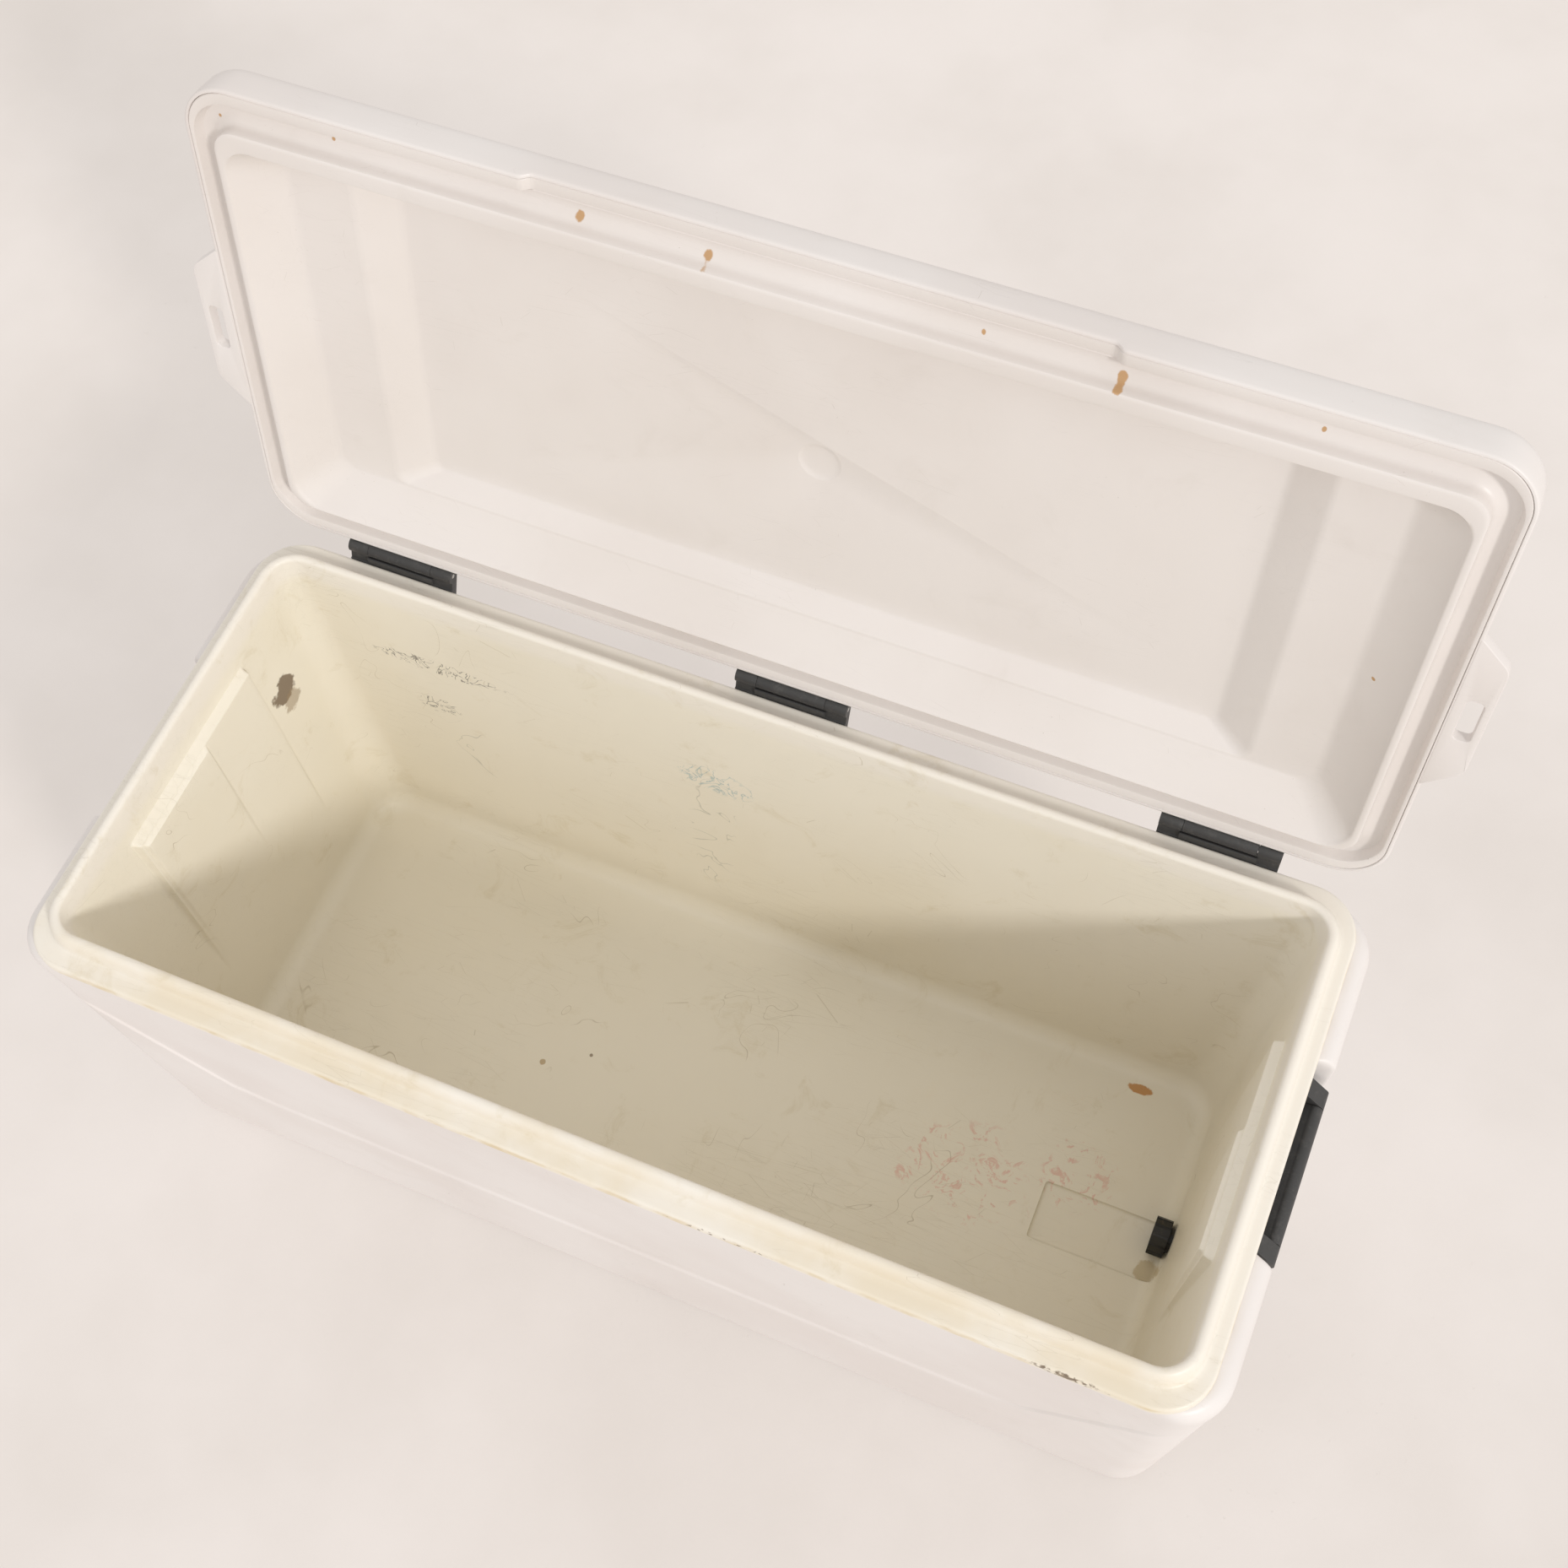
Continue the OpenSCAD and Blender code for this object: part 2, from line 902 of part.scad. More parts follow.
outer_shell();
foam_core();
inner_liner();
lid_shell();
lid_foam();
lid_liner();
body_leaf(-hinge_x);  // hinge_left_body_leaf
body_leaf(0);  // hinge_middle_body_leaf
body_leaf(hinge_x);  // hinge_right_body_leaf
lid_leaf(-hinge_x);  // hinge_left_lid_leaf
lid_leaf(0);  // hinge_middle_lid_leaf
lid_leaf(hinge_x);  // hinge_right_lid_leaf
hinge_pin(-hinge_x);  // hinge_left_pin
hinge_pin(0);  // hinge_middle_pin
hinge_pin(hinge_x);  // hinge_right_pin
hinge_body_screws();
hinge_lid_screws();
handle_bracket(-1);  // handle_left_bracket
handle_bracket(1);  // handle_right_bracket
bail(-1);  // handle_left_bail
bail(1);  // handle_right_bail
handle_pin(-1);  // handle_left_pin
handle_pin(1);  // handle_right_pin
handle_screws();
drain_spout();
drain_nut();
drain_gasket();
drain_cap();
drain_cap_gasket();
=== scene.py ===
"""Looks of the insulated cooler chest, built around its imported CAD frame.

Profiles are written in millimetres and turned into metres when a mesh is made.
The lid's pieces are written closed and then turned open about the hinge axis.
"""
import math

import bmesh
import bpy
import numpy as np
from mathutils import Matrix, Vector
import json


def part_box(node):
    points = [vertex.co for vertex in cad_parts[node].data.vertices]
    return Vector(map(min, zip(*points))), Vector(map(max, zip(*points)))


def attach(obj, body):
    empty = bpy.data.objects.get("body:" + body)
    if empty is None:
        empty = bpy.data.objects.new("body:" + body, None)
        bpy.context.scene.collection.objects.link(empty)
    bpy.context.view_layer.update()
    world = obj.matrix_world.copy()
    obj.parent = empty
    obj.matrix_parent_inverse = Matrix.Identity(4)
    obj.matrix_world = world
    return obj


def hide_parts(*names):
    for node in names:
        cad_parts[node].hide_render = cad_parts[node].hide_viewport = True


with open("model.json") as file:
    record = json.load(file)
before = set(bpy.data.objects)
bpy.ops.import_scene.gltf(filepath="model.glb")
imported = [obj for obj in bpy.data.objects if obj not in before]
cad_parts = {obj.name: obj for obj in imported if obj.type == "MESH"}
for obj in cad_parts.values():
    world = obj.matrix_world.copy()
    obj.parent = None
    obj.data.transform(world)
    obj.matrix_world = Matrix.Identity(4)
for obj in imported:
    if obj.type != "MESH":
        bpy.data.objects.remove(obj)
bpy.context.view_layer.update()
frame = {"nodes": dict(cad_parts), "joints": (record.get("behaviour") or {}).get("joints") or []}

MM = 0.001
NODES = frame["nodes"]
JOINTS = {j["name"]: j for j in frame["joints"]}

# ---------------------------------------------------------------- camera

CAMERA_PLACE = (0.3724, -0.5477, 1.7887)
CAMERA_TURN = Vector((0.4732, 0.1434, 0.380))
LENS_MM = 47.96
SENSOR_MM = 36.0
SHIFT = (0.0102, 0.0113)


def add_camera():
    data = bpy.data.cameras.new("camera")
    data.lens = LENS_MM
    data.sensor_width = SENSOR_MM
    data.shift_x, data.shift_y = SHIFT
    data.clip_end = 50.0
    camera = bpy.data.objects.new("camera", data)
    turn = Matrix.Rotation(CAMERA_TURN.length, 4, CAMERA_TURN.normalized())
    camera.matrix_world = Matrix.Translation(CAMERA_PLACE) @ turn
    bpy.context.scene.collection.objects.link(camera)
    bpy.context.scene.camera = camera


add_camera()
bpy.context.scene.view_settings.view_transform = "Standard"

# ---------------------------------------------------------------- shader graphs


def srgb(r, g, b):
    """Linear colour from 0-255 display values."""
    out = []
    for c in (r, g, b):
        c /= 255.0
        out.append(c / 12.92 if c <= 0.04045 else ((c + 0.055) / 1.055) ** 2.4)
    return (*out, 1.0)


class Graph:
    """Builds one procedural material; every method returns an output socket."""

    def __init__(self, name, roughness, **constants):
        self.mat = bpy.data.materials.new(name)
        self.mat.use_nodes = True
        self.tree = self.mat.node_tree
        self.tree.nodes.clear()
        out = self.tree.nodes.new("ShaderNodeOutputMaterial")
        self.bsdf = self.tree.nodes.new("ShaderNodeBsdfPrincipled")
        self.tree.links.new(self.bsdf.outputs[0], out.inputs["Surface"])
        self.bsdf.inputs["Roughness"].default_value = roughness
        for key, value in constants.items():
            self.bsdf.inputs[key.replace("_", " ")].default_value = value
        self.place = self.tree.nodes.new("ShaderNodeTexCoord").outputs["Object"]
        self.height = None

    def put(self, socket, value):
        if isinstance(value, bpy.types.NodeSocket):
            self.tree.links.new(value, socket)
        else:
            socket.default_value = value

    def math(self, op, a, b=0.0, c=0.0):
        n = self.tree.nodes.new("ShaderNodeMath")
        n.operation = op
        for i, v in enumerate((a, b, c)):
            self.put(n.inputs[i], v)
        return n.outputs[0]

    def times(self, a, b):
        return self.math("MULTIPLY", a, b)

    def plus(self, a, b):
        return self.math("ADD", a, b)

    def stretch(self, scale, turn=(0, 0, 0)):
        n = self.tree.nodes.new("ShaderNodeMapping")
        self.put(n.inputs["Vector"], self.place)
        n.inputs["Scale"].default_value = scale
        n.inputs["Rotation"].default_value = [math.radians(a) for a in turn]
        return n.outputs[0]

    def noise(self, scale, detail=3.0, rough=0.5, bend=0.0, place=None):
        n = self.tree.nodes.new("ShaderNodeTexNoise")
        self.put(n.inputs["Vector"], place or self.place)
        n.inputs["Scale"].default_value = scale
        n.inputs["Detail"].default_value = detail
        n.inputs["Roughness"].default_value = rough
        n.inputs["Distortion"].default_value = bend
        return n.outputs["Fac"]

    def cells(self, scale, place=None, feature="DISTANCE_TO_EDGE"):
        n = self.tree.nodes.new("ShaderNodeTexVoronoi")
        n.feature = feature
        self.put(n.inputs["Vector"], place or self.place)
        n.inputs["Scale"].default_value = scale
        return n.outputs["Distance"]

    def step(self, value, low, high):
        """0 below low and 1 above high, or the other way round if low > high."""
        n = self.tree.nodes.new("ShaderNodeMapRange")
        n.interpolation_type = "SMOOTHSTEP"
        self.put(n.inputs["Value"], value)
        flip = low > high
        n.inputs["From Min"].default_value = min(low, high)
        n.inputs["From Max"].default_value = max(low, high)
        n.inputs["To Min"].default_value = 1.0 if flip else 0.0
        n.inputs["To Max"].default_value = 0.0 if flip else 1.0
        return n.outputs[0]

    def mix(self, fac, a, b):
        n = self.tree.nodes.new("ShaderNodeMix")
        n.data_type = "RGBA"
        self.put(n.inputs["Factor"], fac)
        self.put(n.inputs[6], a)
        self.put(n.inputs[7], b)
        return n.outputs[2]

    def axis(self, name, place=None):
        n = self.tree.nodes.new("ShaderNodeSeparateXYZ")
        self.put(n.inputs[0], place or self.place)
        return n.outputs["XYZ".index(name)]

    def spot(self, centre, radii, ragged=0.5, scale=120.0):
        """Patch around a point in mm, with a ragged edge: 1 inside, 0 outside."""
        n = self.tree.nodes.new("ShaderNodeMapping")
        n.vector_type = "POINT"
        self.put(n.inputs["Vector"], self.place)
        n.inputs["Scale"].default_value = [1.0 / (r * MM) for r in radii]
        n.inputs["Location"].default_value = [-c / r for c, r in zip(centre, radii)]
        d = self.tree.nodes.new("ShaderNodeVectorMath")
        d.operation = "LENGTH"
        self.put(d.inputs[0], n.outputs[0])
        wobble = self.times(self.plus(self.noise(scale, 4.0, 0.6), -0.5), 2.0 * ragged)
        return self.step(self.plus(d.outputs["Value"], wobble), 1.0, 0.75)

    def scratches(self, scale, width, turn, amount, long=9.0):
        """Fine broken lines in one direction; amount is the share that shows."""
        place = self.stretch((1.0, long, long), turn)
        line = self.step(self.cells(scale, place), width, 0.0)
        part = self.step(self.noise(scale * 0.8, 2.0), 1.0 - amount, 1.08 - amount)
        return self.times(line, part)

    def squiggles(self, scale, width, bend=1.0):
        """Thin wandering lines along one level of a noise field."""
        level = self.math("ABSOLUTE", self.plus(self.noise(scale, 2.0, 0.5, bend), -0.5))
        return self.step(level, width, 0.0)

    def colour(self, value):
        self.put(self.bsdf.inputs["Base Color"], value)

    def roughness(self, value):
        self.put(self.bsdf.inputs["Roughness"], value)

    def bump(self, height, distance, strength=1.0):
        n = self.tree.nodes.new("ShaderNodeBump")
        n.inputs["Strength"].default_value = strength
        n.inputs["Distance"].default_value = distance
        self.put(n.inputs["Height"], height)
        if self.height is not None:
            self.put(n.inputs["Normal"], self.height)
        self.height = n.outputs[0]
        self.put(self.bsdf.inputs["Normal"], self.height)


def shell_plastic(name, base, shade, scuff):
    """White moulded polyethylene: faint mottling, grime specks, scratches and soft waviness."""
    g = Graph(name, 0.38, IOR=1.5)
    broad = g.step(g.noise(5.0, 3.0), 0.35, 0.7)
    col = g.mix(broad, base, shade)
    smudge = g.times(g.step(g.noise(17.0, 6.0, 0.65, 0.6), 0.55, 0.78), 0.16)
    col = g.mix(smudge, col, srgb(204, 195, 186))
    specks = g.step(g.noise(420.0, 2.0, 0.6), 0.72, 0.78)
    specks = g.times(specks, g.step(g.noise(11.0, 2.0), 0.5, 0.75))
    col = g.mix(g.times(specks, 0.5), col, srgb(150, 138, 122))
    lines = g.plus(
        g.scratches(16.0, 0.0035, (0, 24, 12), 0.46),
        g.scratches(11.0, 0.0030, (0, -31, 70), 0.42),
    )
    lines = g.times(lines, scuff)
    col = g.mix(lines, col, srgb(178, 168, 158))
    g.colour(col)
    rough = g.plus(0.34, g.times(g.noise(30.0, 4.0), 0.14))
    g.roughness(g.plus(rough, g.times(lines, 0.2)))
    g.bump(g.noise(7.0, 2.0), 0.004, 0.35)
    g.bump(g.noise(900.0, 2.0, 0.6), 0.00005, 0.35)
    g.bump(lines, -0.00012, 0.6)
    return g


def white_shell():
    g = shell_plastic("white_shell", srgb(230, 225, 222), srgb(224, 217, 213), 0.5)
    return g.mat


def lid_panel():
    g = shell_plastic("lid_panel", srgb(229, 223, 219), srgb(224, 217, 212), 0.35)
    col = g.bsdf.inputs["Base Color"].links[0].from_socket
    for x, y, z, r in LID_DOTS:
        centre = opened(np.array([[x, y, z]]))[0]
        col = g.mix(g.times(g.spot(centre, (r, 14.0, r), 0.3, 260.0), 0.85), col, srgb(186, 138, 74))
    g.colour(col)
    return g.mat


def cream_liner():
    g = Graph("cream_liner", 0.36, IOR=1.5)
    z = g.axis("Z")
    x = g.axis("X")
    y = g.axis("Y")
    low, high = srgb(234, 227, 210), srgb(239, 233, 219)
    col = g.mix(g.step(z, 0.03, 0.34), low, high)
    col = g.mix(g.times(g.step(g.noise(4.0, 4.0, 0.55), 0.38, 0.72), 0.45), col, srgb(230, 221, 199))
    rim = g.step(z, 0.362, 0.376)
    col = g.mix(g.times(rim, 0.8), col, srgb(236, 230, 220))
    front = g.times(g.step(y, -0.168, -0.186), rim)
    aged = g.times(front, g.step(g.noise(9.0, 4.0, 0.6), 0.32, 0.62))
    col = g.mix(g.times(aged, 0.6), col, srgb(224, 210, 182))
    outside = g.math("MAXIMUM", g.step(g.math("ABSOLUTE", x), 0.459, 0.4625), g.step(g.math("ABSOLUTE", y), 0.201, 0.2045))
    skirt = g.times(outside, g.step(z, 0.3745, 0.3725))
    grime = g.times(skirt, g.step(g.noise(40.0, 4.0), 0.42, 0.7))
    col = g.mix(g.times(grime, 0.6), col, srgb(206, 180, 124))
    bruise = g.times(g.step(g.noise(23.0, 6.0, 0.7, 0.8), 0.56, 0.74), 0.28)
    col = g.mix(bruise, col, srgb(198, 182, 142))
    inside = g.step(z, 0.372, 0.360)
    rub = g.times(g.squiggles(6.0, 0.0022, 2.0), g.step(g.noise(15.0, 2.0), 0.55, 0.66))
    col = g.mix(g.times(g.times(rub, inside), 0.55), col, srgb(168, 152, 122))
    floor = g.step(z, 0.040, 0.035)
    red = g.times(g.spot((235, 10, 33), (62, 50, 20), 0.5, 30.0), g.step(g.noise(55.0, 5.0, 0.7, 1.5), 0.53, 0.62))
    red = g.plus(red, g.times(g.spot((322, 42, 33), (36, 36, 20), 0.5, 30.0), g.step(g.noise(70.0, 5.0, 0.7, 1.5), 0.55, 0.64)))
    col = g.mix(g.times(g.times(red, floor), 0.42), col, srgb(216, 132, 116))
    worn = g.times(floor, g.step(g.noise(34.0, 6.0, 0.75, 1.0), 0.52, 0.68))
    worn = g.times(worn, g.step(x, 0.02, 0.22))
    col = g.mix(g.times(worn, 0.35), col, srgb(232, 222, 202))
    col = g.mix(g.times(g.spot((-431, 115, 282), (12, 17, 15), 0.9, 70.0), 0.9), col, srgb(112, 92, 70))
    col = g.mix(g.times(g.spot((-431, 116, 262), (10, 12, 10), 0.9, 90.0), 0.6), col, srgb(150, 128, 98))
    pen = g.squiggles(52.0, 0.034, 2.2)
    marks = g.times(g.spot((-310, 174, 296), (66, 20, 10), 0.4, 50.0), pen)
    marks = g.plus(marks, g.times(g.spot((-322, 174, 234), (24, 20, 12), 0.4, 50.0), pen))
    col = g.mix(g.times(marks, 0.9), col, srgb(96, 88, 82))
    faint = g.squiggles(14.0, 0.009, 1.5)
    trail = g.plus(g.spot((-298, 174, 170), (30, 20, 60), 0.5, 30.0), g.spot((-64, 174, 170), (26, 20, 120), 0.5, 30.0))
    col = g.mix(g.times(g.times(trail, faint), 0.5), col, srgb(150, 150, 136))
    blue = g.times(g.spot((-56, 174, 268), (36, 20, 20), 0.4, 50.0), g.squiggles(46.0, 0.035, 2.0))
    col = g.mix(g.times(blue, 0.55), col, srgb(120, 162, 172))
    col = g.mix(g.times(g.spot((-154, -36, 33), (3.2, 3.2, 6), 0.3, 300.0), 0.8), col, srgb(176, 150, 106))
    col = g.mix(g.times(g.spot((-116, -14, 33), (1.8, 1.8, 6), 0.3, 300.0), 0.8), col, srgb(120, 100, 74))
    col = g.mix(g.times(g.spot((349, 138, 34), (13, 5, 14), 0.4, 200.0), 0.9), col, srgb(190, 132, 62))
    stain = g.spot((403, -13, 36), (11, 11, 22), 0.9, 60.0)
    col = g.mix(g.times(stain, 0.55), col, srgb(172, 146, 82))
    edge = g.times(g.spot((370, -207, 372), (34, 4, 5), 0.6, 160.0), g.step(g.noise(190.0, 3.0), 0.42, 0.55))
    edge = g.plus(edge, g.times(g.spot((120, -207, 371), (50, 4, 3), 0.6, 160.0), g.step(g.noise(230.0, 3.0), 0.52, 0.6)))
    col = g.mix(g.times(edge, 0.85), col, srgb(92, 70, 44))
    lines = g.plus(
        g.scratches(13.0, 0.0035, (0, 0, 28), 0.5),
        g.plus(g.scratches(9.0, 0.0030, (8, 0, -38), 0.47), g.scratches(17.0, 0.0035, (90, 18, 0), 0.42)),
    )
    col = g.mix(g.times(lines, 0.38), col, srgb(176, 162, 132))
    g.colour(col)
    rough = g.plus(0.32, g.times(g.noise(26.0, 4.0), 0.16))
    g.roughness(g.plus(rough, g.plus(g.times(lines, 0.2), g.times(worn, 0.15))))
    g.bump(g.noise(6.0, 2.0), 0.005, 0.35)
    g.bump(g.noise(800.0, 2.0, 0.6), 0.00005, 0.35)
    g.bump(lines, -0.00015, 0.6)
    return g.mat


def charcoal_plastic():
    g = Graph("charcoal_plastic", 0.5, IOR=1.5)
    col = g.mix(g.noise(40.0, 4.0), srgb(54, 54, 54), srgb(64, 63, 62))
    dust = g.times(g.step(g.noise(130.0, 5.0, 0.7), 0.52, 0.72), 0.35)
    col = g.mix(dust, col, srgb(96, 94, 90))
    lines = g.scratches(40.0, 0.006, (10, 20, 30), 0.5)
    col = g.mix(g.times(lines, 0.5), col, srgb(120, 120, 118))
    g.colour(col)
    g.roughness(g.plus(0.42, g.times(g.noise(220.0, 3.0), 0.2)))
    g.bump(g.noise(1500.0, 2.0, 0.7), 0.00012, 0.5)
    g.bump(lines, -0.0001, 0.5)
    return g.mat


def black_fitting():
    g = Graph("black_fitting", 0.4, IOR=1.5)
    col = g.mix(g.noise(60.0, 4.0), srgb(24, 24, 23), srgb(36, 35, 33))
    scale = g.times(g.step(g.noise(150.0, 6.0, 0.7), 0.55, 0.7), 0.4)
    g.colour(g.mix(scale, col, srgb(92, 82, 62)))
    g.roughness(g.plus(0.34, g.times(g.noise(180.0, 3.0), 0.25)))
    g.bump(g.noise(1100.0, 2.0, 0.6), 0.0001, 0.4)
    return g.mat


def seal_rubber():
    g = Graph("seal_rubber", 0.75, IOR=1.5)
    g.colour(g.mix(g.noise(90.0, 4.0), srgb(36, 35, 34), srgb(58, 56, 53)))
    g.roughness(g.plus(0.65, g.times(g.noise(200.0, 3.0), 0.2)))
    g.bump(g.noise(900.0, 3.0, 0.6), 0.0002, 0.5)
    return g.mat


def steel():
    g = Graph("steel", 0.3, Metallic=1.0)
    brushed = g.noise(60.0, 4.0, 0.6, 0.0, g.stretch((1.0, 14.0, 14.0)))
    rust = g.times(g.step(g.noise(210.0, 5.0, 0.7), 0.6, 0.74), 0.55)
    g.colour(g.mix(rust, g.mix(brushed, srgb(170, 170, 168), srgb(205, 204, 201)), srgb(128, 88, 56)))
    g.roughness(g.plus(0.24, g.times(brushed, 0.22)))
    g.bump(brushed, 0.00006, 0.5)
    return g.mat


def foam():
    g = Graph("foam", 0.9)
    g.colour(g.mix(g.noise(50.0, 5.0), srgb(226, 208, 150), srgb(240, 226, 178)))
    g.bump(g.cells(700.0, None, "F1"), 0.0006, 0.8)
    return g.mat


def studio_floor():
    g = Graph("studio_floor", 0.75)
    col = g.mix(g.step(g.noise(1.6, 5.0, 0.6), 0.35, 0.7), srgb(178, 171, 167), srgb(164, 156, 150))
    pits = g.times(g.step(g.noise(90.0, 6.0, 0.75), 0.63, 0.7), g.step(g.noise(2.6, 3.0), 0.5, 0.7))
    g.colour(g.mix(g.times(pits, 0.4), col, srgb(190, 178, 168)))
    g.bump(g.noise(14.0, 6.0, 0.65), 0.002, 0.35)
    g.bump(pits, -0.0008, 0.5)
    g.bsdf.inputs["Emission Color"].default_value = srgb(240, 234, 229)
    g.bsdf.inputs["Emission Strength"].default_value = 0.44
    return g.mat


# ---------------------------------------------------------------- mesh helpers

ARC_STEPS = 12
SIDE_KEEP = 345.0
SIDE_INNER = (
    -345, -300, -240, -207, -204, -202, -200, -198, -195, -190, -150, -100, -50, 0,
    50, 100, 150, 190, 195, 198, 200, 202, 204, 207, 240, 300, 345,
)
END_KEEP = 96.0
END_INNER = (
    -96, -91, -88.5, -87.5, -86.5, -85.5, -84, -83, -82, -81, -80, -78.5, -77.5, -76.5, -75, -73.5, -72, -71, -70, -68.5, -60, -45, -30,
    -19, -17.5, -16.5, -15.5, -14, 0, 10, 11.5, 13, 14.5, 16, 28, 41, 42.5, 43.5, 44.5, 46, 60, 68.5, 70, 71, 72, 73.5, 75, 76.5, 77.5, 78.5,
    80, 84, 85.5, 86.5, 87.5, 88.5, 91, 96,
)
OUTER_STEPS = 6


def stations(inner, keep, low, high):
    """Fixed places between -keep and keep, then even steps to the tangent points."""
    head = np.linspace(low, -keep, OUTER_STEPS + 1)[:-1]
    tail = np.linspace(keep, high, OUTER_STEPS + 1)[1:]
    return np.concatenate([head, np.array(inner, float), tail])


def outline(x, front, back, r, z):
    """Rounded rectangle as a closed loop of points, the same count for any size."""
    side = stations(SIDE_INNER, SIDE_KEEP, -(x - r), x - r)
    end = stations(END_INNER, END_KEEP, front + r, back - r)
    arc = np.linspace(0, math.pi / 2, ARC_STEPS + 1)[1:-1]
    c, s = r * np.cos(arc), r * np.sin(arc)
    loop = [
        np.stack([side, np.full_like(side, front)], 1),
        np.stack([x - r + s, front + r - c], 1),
        np.stack([np.full_like(end, x), end], 1),
        np.stack([x - r + c, back - r + s], 1),
        np.stack([side[::-1], np.full_like(side, back)], 1),
        np.stack([-x + r - s, back - r + c], 1),
        np.stack([np.full_like(end, -x), end[::-1]], 1),
        np.stack([-x + r - c, front + r - s], 1),
    ]
    flat = np.concatenate(loop)
    return np.column_stack([flat, np.full(len(flat), float(z))])


def soft_step(value, low, high):
    t = np.clip((value - low) / (high - low), 0.0, 1.0)
    return t * t * (3.0 - 2.0 * t)


def soft_min(a, b, k):
    h = np.clip(0.5 + 0.5 * (b - a) / k, 0.0, 1.0)
    return b + (a - b) * h - k * h * (1.0 - h)


def new_object(name, points, faces):
    mesh = bpy.data.meshes.new(name)
    mesh.from_pydata([tuple(p) for p in np.asarray(points) * MM], [], faces)
    mesh.validate()
    obj = bpy.data.objects.new(name, mesh)
    bpy.context.scene.collection.objects.link(obj)
    return obj


def loft(name, rings, caps=True):
    """Closed skin through rings of equal point count; the first and last rings are capped."""
    n = len(rings[0])
    faces = []
    for k in range(len(rings) - 1):
        a, b = k * n, (k + 1) * n
        for i in range(n):
            j = (i + 1) % n
            faces.append((a + i, a + j, b + j, b + i))
    if caps:
        faces.append(tuple(reversed(range(n))))
        faces.append(tuple(range((len(rings) - 1) * n, len(rings) * n)))
    obj = new_object(name, np.concatenate(rings), faces)
    bm = bmesh.new()
    bm.from_mesh(obj.data)
    bmesh.ops.recalc_face_normals(bm, faces=bm.faces)
    bm.to_mesh(obj.data)
    bm.free()
    return obj


def bevelled(obj, width, segments=3, angle=35.0):
    mod = obj.modifiers.new("bevel", "BEVEL")
    mod.width = width * MM
    mod.segments = segments
    mod.limit_method = "ANGLE"
    mod.angle_limit = math.radians(angle)
    mod.use_clamp_overlap = True
    return obj


def carved(obj, cutter, how="DIFFERENCE"):
    mod = obj.modifiers.new("carve", "BOOLEAN")
    mod.operation = how
    mod.solver = "EXACT"
    mod.object = cutter
    return obj


def baked(obj, smooth=38.0, drop=()):
    """Applies the modifiers, shades smooth below the given angle, and removes cutters."""
    bpy.context.view_layer.update()
    graph = bpy.context.evaluated_depsgraph_get()
    mesh = bpy.data.meshes.new_from_object(obj.evaluated_get(graph))
    obj.modifiers.clear()
    obj.data = mesh
    mesh.name = obj.name
    mesh.polygons.foreach_set("use_smooth", [True] * len(mesh.polygons))
    mesh.set_sharp_from_angle(angle=math.radians(smooth))
    for cutter in drop:
        bpy.data.objects.remove(cutter)
    return obj


def finish(obj, body, slot, material, *nodes):
    obj.data.materials.clear()
    obj.data.materials.append(material)
    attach(obj, body)
    if nodes:
        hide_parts(*nodes)
    return obj


HINGE = np.array(JOINTS["lid_hinge"]["pos_m"]) / MM
LID_ANGLE = math.radians(JOINTS["lid_hinge"]["range_deg"][1])


def opened(points):
    """Closed-lid points turned open about the hinge axis, in mm."""
    out = np.array(points, float)
    y, z = out[:, 1] - HINGE[1], out[:, 2] - HINGE[2]
    c, s = math.cos(-LID_ANGLE), math.sin(-LID_ANGLE)
    out[:, 1] = HINGE[1] + c * y - s * z
    out[:, 2] = HINGE[2] + s * y + c * z
    return out


# ---------------------------------------------------------------- sizes from the frame

liner_low, liner_high = (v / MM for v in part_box("inner_liner"))
shell_low, shell_high = (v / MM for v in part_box("outer_shell"))
RIM_X, RIM_Y = liner_high.x, liner_high.y
BEAD_Z = liner_high.z
RIM_Z = BEAD_Z - 14.5
SEAM_Z = shell_high.z
SHOULDER_X = shell_high.x
FLOOR_Z = 33.0
LID_Z = 381.3
LID_DOTS = (
    (-165, -181, 382, 4.2), (-73, -180, 382, 4.0), (205, -179, 382, 4.2), (114, -181, 382, 2.0),
    (-349, -184, 384, 1.8), (-439, -176, 382, 2.0), (330, -182, 384, 1.8), (409, 10, 392, 1.6),
)

# ---------------------------------------------------------------- outer shell

CREASE_Z = 161.0
CREASE_KNEE_X = 340.0
CREASE_SLOPE = 1.247
CREASE_TOP = 306.0
CREASE_DEPTH = 2.0
POCKET_X = 455.0
POCKET_HALF = 70.5
POCKET_FLARE = 9.0
POCKET_END_Z = 220.0
POCKET_FOOT_Z = 262.0
DRAIN_X = 438.0
DRAIN_Y = (-16.5, 43.5)
DRAIN_Z = (16.5, 76.5)


def shell_size(z, inset):
    """Half length and half width of the shell's faces at one height."""
    up = (z - 9.0) / (354.0 - 9.0)
    return 462.0 + 16.0 * up - inset, 181.0 + 23.2 * up - inset


def crease_height(p):
    """Height that the front crease passes at, for each point of a ring."""
    x, y = np.abs(p[:, 0]), p[:, 1]
    rise = CREASE_Z + CREASE_SLOPE * np.maximum(x - CREASE_KNEE_X, 0.0)
    rise = soft_min(rise, np.full_like(rise, CREASE_TOP), 14.0)
    end = soft_step(y, -160.0, -98.0)
    back = y > -98.0
    return np.where(back, CREASE_Z, rise + (CREASE_Z - rise) * end)


